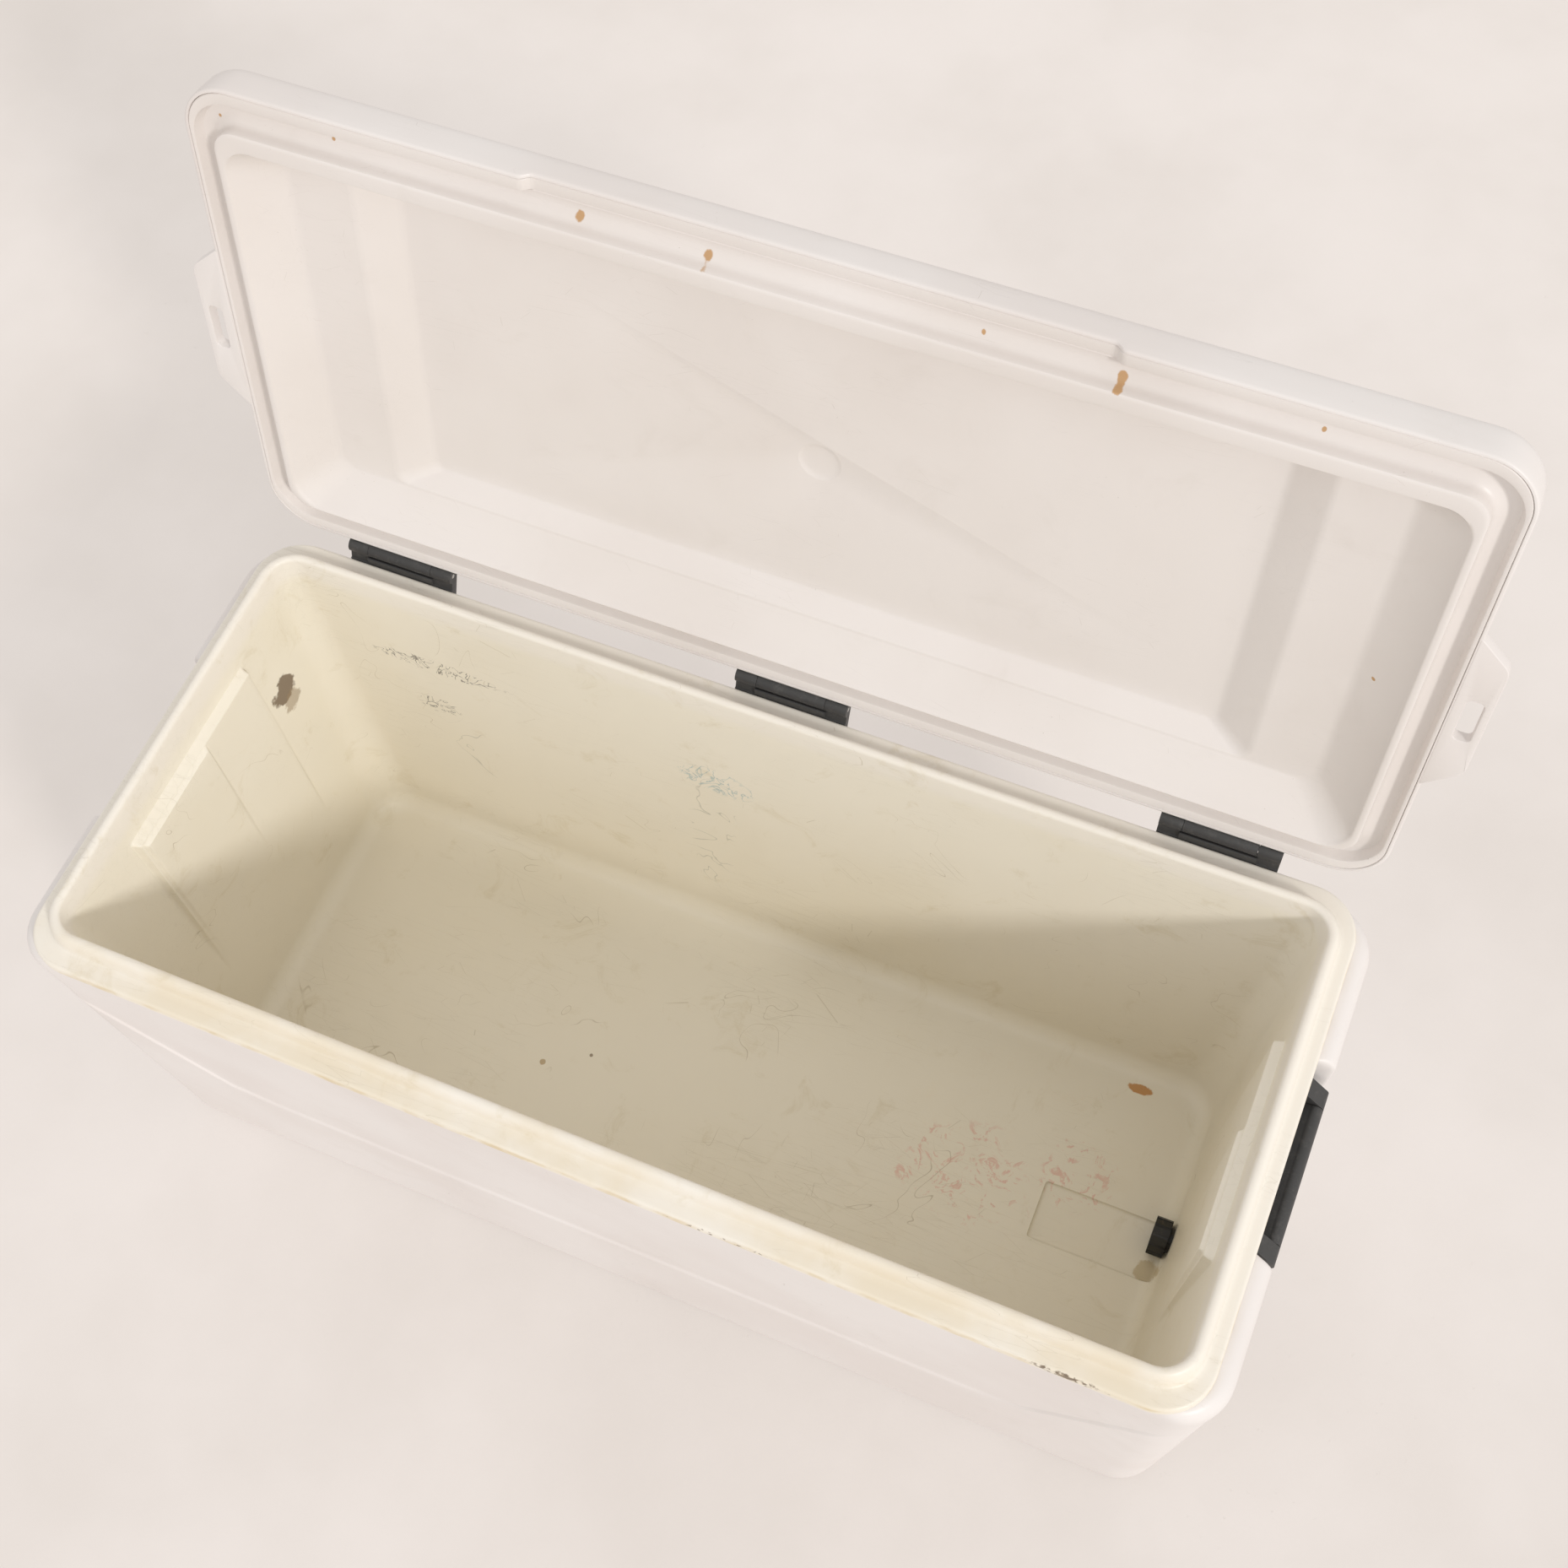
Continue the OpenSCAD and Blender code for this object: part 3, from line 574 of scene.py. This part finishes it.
def shell_ring(z, inset, depth):
    x, y = shell_size(z, inset)
    p = outline(x, -y, y, 39.0 - inset, z)
    crease = crease_height(p)
    level = np.interp(z, [0, 100, CREASE_Z, 345, 400], [0, 100, CREASE_Z, 345, 400])
    if 100 < z < 345:
        if z < CREASE_Z - 3.5:
            level = 100 + (z - 100) * (crease - 3.5 - 100) / (CREASE_Z - 3.5 - 100)
        elif z > CREASE_Z + 3.5:
            level = 345 - (345 - z) * (345 - crease - 3.5) / (345 - CREASE_Z - 3.5)
        else:
            level = crease + (z - CREASE_Z)
        for i, height in enumerate(np.broadcast_to(level, (len(p),))):
            if abs(height - z) > 1e-6:
                nx, ny = shell_size(height, inset)
                p[i, 0] *= nx / x
                p[i, 1] *= ny / y
                p[i, 2] = height
    above = soft_step(p[:, 2] - crease, -3.0, 3.0) * (p[:, 1] < -100)
    fade = 1.0 - soft_step(np.abs(p[:, 0]), 428.0, 456.0)
    p[:, 1] += depth * CREASE_DEPTH * above * fade
    return p


def shell_carve(p, grow):
    """Pushes a ring in for the handle scoops and the drain recess."""
    side = np.sign(p[:, 0])
    reach = np.abs(p[:, 0])
    y, z = p[:, 1], p[:, 2]
    end = np.abs(y) < 150.0
    slope = (SHOULDER_X - 6.0 - POCKET_X) / (POCKET_FOOT_Z - POCKET_END_Z)
    floor = POCKET_X - grow + np.maximum(POCKET_FOOT_Z - grow - z, 0.0) * slope
    mask = 1.0 - soft_step(np.abs(y), POCKET_HALF + grow, POCKET_HALF + POCKET_FLARE + grow)
    scooped = soft_min(reach, floor, 3.0)
    carved_x = np.where(end & (z > 190.0), reach + (np.minimum(scooped, reach) - reach) * mask, reach)
    soft = 1.6
    drain = soft_step(y, DRAIN_Y[0] - grow - soft, DRAIN_Y[0] - grow + soft)
    drain *= 1.0 - soft_step(y, DRAIN_Y[1] + grow - soft, DRAIN_Y[1] + grow + soft)
    drain *= soft_step(z, DRAIN_Z[0] - grow - soft, DRAIN_Z[0] - grow + soft)
    drain *= 1.0 - soft_step(z, DRAIN_Z[1] + grow - soft, DRAIN_Z[1] + grow + soft)
    drain *= (side > 0) & end
    carved_x = carved_x + (DRAIN_X - grow - carved_x) * drain
    p[:, 0] = side * carved_x
    return p


def build_shell():
    heights = [
        13.5, 15, 16.5, 18, 20, 30, 45, 60, 72, 75, 76.5, 78, 80, 90, 100, 120, 140, 152, 157.5,
        158.5, 159.5, 161, 162.5, 163.5, 164.5, 172, 184, 198, 210, 215, 218, 220, 222, 225, 230,
        240, 250, 256, 260, 262, 264, 268, 280, 300, 320, 335, 345, 350,
    ]
    rings = []
    t = 3.0
    for z, cut in ((7.0, 60.0), (7.0, 20.0)):
        rings.append(outline(462 - cut, -181 + cut, 181 - cut, 34.0, z))
    rings.append(outline(452, -171, 171, 33.0, 7.2))
    for z in heights:
        if z > 12:
            rings.append(shell_carve(shell_ring(z, t, 0.0), t))
    rings.append(shell_carve(outline(471, -201.4, 201.4, 36.0, 355.0), t))
    rings.append(shell_carve(outline(464, -201.5, 201.5, 36.0, 361.5), t))
    rings.append(shell_carve(outline(459.5, -201.0, 201.0, 36.0, 363.0), t))
    rings.append(shell_carve(outline(459.0, -200.5, 200.5, 36.0, SEAM_Z), t))
    turns = np.radians([90, 75, 60, 45, 30, 15])
    rings.append(shell_carve(outline(462.6, -203.6, 203.6, 39.0, SEAM_Z), 0.0))
    for a in turns:
        x = 464.0 + 14.2 * math.cos(a)
        y = 203.4 + 0.6 * math.cos(a)
        z = 350.0 + 15.9 * math.sin(a)
        p = outline(x, -y, y, 39.0, z)
        fade = (1.0 - soft_step(np.abs(p[:, 0]), 428.0, 456.0)) * (p[:, 1] < -100)
        p[:, 1] += CREASE_DEPTH * fade
        rings.append(shell_carve(p, 0.0))
    for z in reversed(heights):
        rings.append(shell_carve(shell_ring(z, 0.0, 1.0), 0.0))
    for a in np.radians([0, 15, 30, 45, 60, 75, 90]):
        x = 453.0 + 9.0 * math.cos(a)
        y = 172.0 + 9.0 * math.cos(a)
        rings.append(outline(x, -y, y, 30.0 + 9.0 * math.cos(a), 9.0 - 9.0 * math.sin(a)))
    rings.append(outline(447, -166, 166, 27.0, 0.0))
    rings.append(outline(441, -160, 160, 25.0, 2.6))
    rings.append(outline(438, -157, 157, 24.0, 3.2))
    obj = loft("chest_shell", rings)
    return baked(obj, 42.0)


# ---------------------------------------------------------------- liner

PANEL_HALF = 86.5
PANEL_FOOT = (125.0, 420.6)
PANEL_TOP = (352.0, 430.6)


def liner_panels(p):
    """Brings the raised panels out of the liner's end walls."""
    reach = np.abs(p[:, 0])
    y, z = p[:, 1], p[:, 2]
    face = PANEL_FOOT[1] + (z - PANEL_FOOT[0]) * (PANEL_TOP[1] - PANEL_FOOT[1]) / (PANEL_TOP[0] - PANEL_FOOT[0])
    mask = 1.0 - soft_step(np.abs(y), PANEL_HALF - 1.5, PANEL_HALF + 1.8)
    mask *= 1.0 - soft_step(z, PANEL_TOP[0] - 1.5, PANEL_TOP[0] + 1.8)
    mask *= (np.abs(y) < 150.0) & (z > PANEL_FOOT[0] - 10.0)
    panel = reach + (np.minimum(face, reach) - reach) * mask
    step = soft_step(y, -PANEL_HALF + 3.0, -PANEL_HALF + 6.0) * (1.0 - soft_step(y, 11.0, 14.5))
    step *= (1.0 - soft_step(z, 346.5, 350.0)) * soft_step(z, PANEL_FOOT[0], PANEL_TOP[0])
    panel -= 3.4 * step
    p[:, 0] = np.sign(p[:, 0]) * panel
    return p


def build_liner():
    rings = [
        outline(380, -125, 125, 22, FLOOR_Z - 8),
        outline(402, -147, 147, 26, FLOOR_Z - 8),
        outline(412, -157, 157, 32, FLOOR_Z - 4),
        outline(420, -165, 165, 36, 52.0),
        outline(444, -181.5, 181.5, 24, 366.0),
        outline(446, -183, 183, 25, 371.5),
        outline(459, -201.0, 201.0, 35.0, 371.5),
        outline(460.2, -202.2, 202.2, 36.0, 370.5),
        outline(460.5, -202.5, 202.5, 36.0, 366.6),
        outline(461, -203, 203, 36.5, 366.1),
        outline(462.9, -204.9, 204.9, 38.4, 366.1),
        outline(463.5, -205.5, 205.5, 39.0, 366.7),
        outline(463.5, -205.5, 205.5, 39.0, 372.2),
    ]
    for a in np.radians([20, 45, 70]):
        k = 2.8 * (1.0 - math.cos(a))
        rings.append(outline(463.5 - k, -205.5 + k, 205.5 - k, 39.0 - k, 372.2 + 2.8 * math.sin(a)))
    bead = [
        (460.7, 202.7, 36.2, 375.0), (456.5, 195.5, 33.5, 375.0), (454.4, 191.6, 32.4, 375.3), (453.2, 190.3, 32.0, 376.3),
        (452.7, 189.7, 32.0, 378.5), (452.2, 189.2, 31.5, 382.0), (450.9, 187.9, 30.4, 386.2), (449.5, 186.6, 29.3, 388.3),
        (448.0, 185.1, 28.2, 389.3), (446.3, 183.6, 26.8, 389.5), (444.5, 181.8, 25.0, 389.2), (443.1, 180.4, 23.2, 388.2),
        (442.3, 179.7, 22.2, 386.2), (441.7, 179.2, 21.6, 382.5), (440.9, 178.4, 20.9, 378.0), (440.1, 177.6, 20.2, 373.0),
    ]
    for x, y, r, z in bead:
        rings.append(outline(x, -y, y, r, z))
    heights = [366, 358, 355.5, 354, 353, 352, 351, 350, 349, 348, 347, 345.5, 335, 310, 280, 250, 220, 190, 160, 140, 128, 122, 110, 90, 70]
    for z in heights:
        up = (z - 51.7) / (375.0 - 51.7)
        x, y, r = 415.3 + 24.7 * up, 160.3 + 17.2 * up, 34.0 - 14.0 * up
        rings.append(liner_panels(outline(x, -y, y, r, z)))
    for a in np.radians([90, 78, 66, 54, 42, 30, 18, 8]):
        x = 398.5 + 16.8 * math.sin(a)
        y = 143.5 + 16.8 * math.sin(a)
        rings.append(outline(x, -y, y, 22.0 + 12.0 * math.sin(a), FLOOR_Z + 18.7 * (1.0 - math.cos(a))))
    rings.append(outline(397, -142, 142, 21, FLOOR_Z))
    rings.append(outline(388, -133, 133, 18, FLOOR_Z))
    obj = loft("chest_liner", rings)
    cutter = new_box("sump_cutter", (300, 411.5), (-24, 29), (FLOOR_Z - 3.0, 62.0), 3.0)
    carved(obj, cutter)
    return baked(obj, 40.0, [cutter])


def build_foam():
    """Insulation between the shell and the liner, just clear of both."""
    gap = 3.6
    rings = [
        outline(384, -129, 129, 22, FLOOR_Z - 9),
        outline(403, -148, 148, 26, FLOOR_Z - 9),
        outline(413, -158, 158, 32, FLOOR_Z - 5),
        outline(421, -166, 166, 36, 52.0),
        outline(445, -182.5, 182.5, 24, 364.0),
        outline(457.0, -199.0, 199.0, 36.0, 364.0),
    ]
    rings.append(shell_carve(outline(457.5, -199.5, 199.5, 36.0, 361.0), gap))
    for z in (350, 345, 320, 300, 280, 268, 262, 256, 240, 225, 215, 180, 140, 100, 82, 80, 78, 75, 45, 18, 13, 9):
        rings.append(shell_carve(shell_ring(z, gap, 0.0), gap))
    rings.append(outline(440, -158, 158, 30.0, 7.8))
    rings.append(outline(400, -138, 138, 28.0, 7.8))
    return baked(loft("insulation", rings), 40.0)


def new_box(name, xs, ys, zs, round_by):
    """Block with rounded edges, used as a cutter or as the core of a small moulding."""
    points = [(x, y, z) for x in xs for y in ys for z in zs]
    faces = [(0, 1, 3, 2), (4, 6, 7, 5), (0, 4, 5, 1), (2, 3, 7, 6), (0, 2, 6, 4), (1, 5, 7, 3)]
    obj = new_object(name, points, faces)
    if round_by:
        bevelled(obj, round_by, 4)
        baked(obj)
    return obj


# ---------------------------------------------------------------- lid


LIFT_HALF = 201.0
LIFT_H = 5.4


def finger_lift(p):
    """Raises the skirt's lower edge at the front, between two soft ends."""
    z = p[:, 2] - LID_Z
    mask = 1.0 - soft_step(np.abs(p[:, 0]), LIFT_HALF - 4.0, LIFT_HALF + 4.0)
    mask *= (p[:, 1] < -192.0) & (z < 2.5)
    p[:, 2] += LIFT_H * mask
    return p


def lid_rings(profile):
    return [opened(finger_lift(outline(x, f, b, r, LID_Z + z))) for x, f, b, r, z in profile]


def build_lid_shell():
    inside = [
        (393, -135, 135, 29, 38.5), (448, -190, 190, 30, 33.0), (456, -198, 198, 34, 28.5),
        (460.3, -202.3, 202.3, 36, 20.0), (460.5, -202.5, 202.5, 36, 1.0), (461.0, -203.0, 203.0, 36.5, 0.2),
    ]
    outside = [
        (462.4, 37.9, 0.2), (463.2, 38.7, 0.8), (463.5, 39.0, 2.0), (463.5, 39.0, 10.0), (463.3, 38.8, 18.0),
        (463.0, 38.5, 24.0), (462.2, 37.7, 27.5), (460.6, 36.1, 30.6), (458.2, 34.2, 33.2), (455.0, 32.4, 35.0),
        (451.0, 30.6, 36.2), (444.0, 29.5, 37.3), (430.0, 28.5, 38.8), (412.0, 27.5, 40.3), (392.0, 27.0, 41.2),
    ]
    rings = lid_rings(inside)
    rings += lid_rings([(x, 258.0 - x, x - 258.0, r, z) for x, r, z in outside])
    return baked(loft("lid_top", rings), 40.0)


def build_lid_liner():
    hidden = [
        (300, -140, 110, 8, 34.5), (316, -153, 124, 9, 34.2), (345, -158, 138, 10, 19.8), (399, -160, 141, 15, 19.8),
        (436, -168, 177.8, 22, 12.4), (458, -200, 200, 34, 12.4), (460.1, -202.1, 202.1, 35.7, 12.0),
    ]
    shown = [
        (460.3, -202.3, 202.3, 36, 1.0), (459.7, -201.7, 201.7, 35.4, 0.3), (458.0, -194.4, 194.4, 33.6, 0.25),
        (457.4, -193.7, 193.7, 33, 0.6), (456.9, -193.2, 193.2, 32.6, 1.8), (455.4, -191.9, 191.9, 31.2, 6.8),
        (454.4, -191.0, 191.0, 30.4, 8.7), (453.0, -189.7, 189.7, 30, 9.3), (448.2, -185.2, 185.2, 27.5, 9.3),
        (446.6, -183.7, 183.7, 26.2, 8.9), (442.0, -179.0, 179.0, 21.8, 6.0), (440.4, -177.4, 177.4, 20.2, 4.8),
        (439.6, -176.6, 176.6, 19.4, 3.0), (439.3, -176.3, 176.3, 19, 0.5), (439.2, -176.2, 176.25, 19, -3.6),
        (438.8, -175.8, 176.15, 19, -4.8), (437.8, -174.8, 175.9, 19.6, -5.4), (436.6, -173.0, 175.6, 20, -5.5),
        (434.6, -164.2, 175.2, 21.4, -5.5), (433.5, -162.7, 174.8, 22, -5.2), (432.6, -162.2, 174.0, 22, -4.2),
        (430.9, -161.8, 172.5, 21.6, -2.2), (400.5, -155.3, 141.5, 16, 13.8), (397.4, -154.5, 138.6, 15.4, 15.3),
        (393.5, -154.0, 137.2, 14.6, 16.0), (350.5, -153.2, 136.2, 11, 16.0), (347.0, -153.0, 135.6, 10.4, 16.4),
        (344.2, -152.8, 134.6, 10, 17.6), (320.6, -150.8, 123.8, 8.6, 28.6), (317.8, -150.3, 122.2, 8.2, 30.2),
        (314.0, -149.4, 120.4, 8, 30.7), (300.0, -140.0, 108.0, 8, 30.7),
    ]
    obj = loft("lid_underside", lid_rings_scaled(hidden) + lid_rings_scaled(shown))
    cutter = gate_dish()
    carved(obj, cutter)
    return baked(obj, 36.0, [cutter])


def lid_rings_scaled(profile):
    """As lid_rings, with the fixed stations drawn in where a ring is shorter than they are."""
    rings = []
    for x, f, b, r, z in profile:
        wide = max(x, SIDE_KEEP + r + 6.0)
        p = outline(wide, f, b, r, LID_Z + z)
        if wide > x:
            p[:, 0] *= x / wide
        rings.append(opened(finger_lift(p)))
    return rings


def disc(name, centre, profile, steps=64):
    """Turned form about a closed-lid vertical axis, from (radius, height) pairs."""
    angle = np.linspace(0, 2 * math.pi, steps, endpoint=False)
    rings = []
    for r, z in profile:
        ring = np.column_stack([centre[0] + r * np.cos(angle), centre[1] + r * np.sin(angle), np.full(steps, z)])
        rings.append(opened(ring))
    return loft(name, rings)


def gate_dish():
    z = LID_Z + 30.7
    profile = [(17.0, z - 3.0), (17.0, z - 0.02), (16.0, z + 0.25), (14.5, z + 0.9), (12.0, z + 1.35), (6.0, z + 1.6)]
    return disc("gate_cutter", (2.0, -8.0), profile)


TAB_T = 9.0


def build_tab(side):
    """Tie-down tab: straight edge between two round corners, with a strap slot."""
    reach, r = 486.5 - 14.0, 14.0
    turn = np.radians(np.linspace(-55, 0, 9))
    edge = [(461.5, -62.0), (463.2, -62.0)]
    edge += [(reach + r * math.cos(a), -35.0 + r * math.sin(a)) for a in turn]
    edge += [(reach + r * math.cos(a), 57.0 + r * math.sin(a)) for a in np.radians(np.linspace(0, 55, 9))]
    edge += [(463.2, 85.0), (461.5, 85.0)]
    n = len(edge)
    points = [(side * x, y, z) for z in (LID_Z, LID_Z + TAB_T) for x, y in edge]
    faces = [tuple(range(n)), tuple(reversed(range(n, 2 * n)))]
    faces += [(i, (i + 1) % n, (i + 1) % n + n, i + n) for i in range(n)]
    obj = new_object("lid_tab_left" if side < 0 else "lid_tab_right", opened(points), faces)
    slot = []
    for cx, cy, a0 in ((477, 28, 0), (473, 28, 90), (473, -3, 180), (477, -3, 270)):
        for a in np.radians(np.linspace(a0, a0 + 90, 6)):
            slot.append((side * (cx + 4 * math.cos(a)), cy + 4 * math.sin(a)))
    m = len(slot)
    points = [(x, y, z) for z in (LID_Z - 4, LID_Z + TAB_T + 4) for x, y in slot]
    faces = [tuple(range(m)), tuple(reversed(range(m, 2 * m)))]
    faces += [(i, (i + 1) % m, (i + 1) % m + m, i + m) for i in range(m)]
    cutter = new_object("slot_cutter", opened(points), faces)
    for o in (obj, cutter):
        bm = bmesh.new()
        bm.from_mesh(o.data)
        bmesh.ops.recalc_face_normals(bm, faces=bm.faces)
        bm.to_mesh(o.data)
        bm.free()
    carved(obj, cutter)
    bevelled(obj, 1.6, 3, 40.0)
    return baked(obj, 35.0, [cutter])


# ---------------------------------------------------------------- small parts


def refined(node, name, width, segments=3, smooth=35.0):
    """A piece with the CAD node's own shape, its edges rounded off."""
    mesh = NODES[node].data.copy()
    obj = bpy.data.objects.new(name, mesh)
    bpy.context.scene.collection.objects.link(obj)
    bm = bmesh.new()
    bm.from_mesh(mesh)
    bmesh.ops.remove_doubles(bm, verts=bm.verts, dist=2e-6)
    bmesh.ops.dissolve_limit(bm, angle_limit=math.radians(0.5), verts=bm.verts, edges=bm.edges)
    bm.to_mesh(mesh)
    bm.free()
    bevelled(obj, width, segments)
    return baked(obj, smooth)


# ---------------------------------------------------------------- build

WHITE = white_shell()
LID_WHITE = lid_panel()
CREAM = cream_liner()
CHARCOAL = charcoal_plastic()
BLACK = black_fitting()
RUBBER = seal_rubber()
STEEL = steel()
FOAM = foam()

finish(build_shell(), "root", "white_shell", WHITE, "outer_shell")
finish(build_liner(), "root", "cream_liner", CREAM, "inner_liner")
finish(build_lid_shell(), "lid", "white_shell", WHITE, "lid_shell")
finish(build_lid_liner(), "lid", "lid_panel", LID_WHITE, "lid_liner")
for tab_side in (-1, 1):
    finish(build_tab(tab_side), "lid", "white_shell", WHITE)

SMALL = [
    ("handle_screws", "root", "steel", STEEL, 0.3),
    ("hinge_body_screws", "root", "steel", STEEL, 0.3),
    ("hinge_lid_screws", "lid", "steel", STEEL, 0.3),
    ("drain_spout", "root", "black_fitting", BLACK, 0.5),
    ("drain_nut", "root", "black_fitting", BLACK, 0.6),
    ("drain_gasket", "root", "seal_rubber", RUBBER, 0.4),
    ("drain_cap", "cap", "black_fitting", BLACK, 0.5),
    ("drain_cap_gasket", "cap_travel", "seal_rubber", RUBBER, 0.3),
]
for where in ("left", "middle", "right"):
    SMALL += [
        (f"hinge_{where}_body_leaf", "root", "charcoal_plastic", CHARCOAL, 0.7),
        (f"hinge_{where}_lid_leaf", "lid", "charcoal_plastic", CHARCOAL, 0.7),
        (f"hinge_{where}_pin", "root", "steel", STEEL, 0.4),
    ]
for where in ("left", "right"):
    SMALL += [
        (f"handle_{where}_bracket", "root", "charcoal_plastic", CHARCOAL, 0.9),
        (f"handle_{where}_bail", f"{where}_bail", "charcoal_plastic", CHARCOAL, 1.8),
        (f"handle_{where}_pin", "root", "steel", STEEL, 0.4),
    ]
for node, body, slot, material, width in SMALL:
    finish(refined(node, f"{node}_piece", width), body, slot, material, node)

finish(build_foam(), "root", "foam", FOAM, "foam_core")
NODES["lid_foam"].data.materials.clear()
NODES["lid_foam"].data.materials.append(FOAM)

# ---------------------------------------------------------------- stage and light


def add_stage():
    plane = new_object("studio_floor", [(-9000, -9000, 0), (9000, -9000, 0), (9000, 9000, 0), (-9000, 9000, 0)], [(0, 1, 2, 3)])
    plane.data.materials.append(studio_floor())


def add_lights():
    world = bpy.data.worlds.new("soft_studio")
    world.use_nodes = True
    sky = world.node_tree.nodes["Background"]
    sky.inputs["Color"].default_value = (1.0, 0.98, 0.962, 1.0)
    sky.inputs["Strength"].default_value = 0.84
    bpy.context.scene.world = world
    data = bpy.data.lights.new("key", "SUN")
    data.energy = 1.35
    data.angle = math.radians(8.0)
    data.color = (1.0, 0.985, 0.965)
    key = bpy.data.objects.new("key", data)
    key.rotation_euler = Vector((1.0, -0.72, 0.75)).to_track_quat("Z", "Y").to_euler()
    bpy.context.scene.collection.objects.link(key)


add_stage()
add_lights()
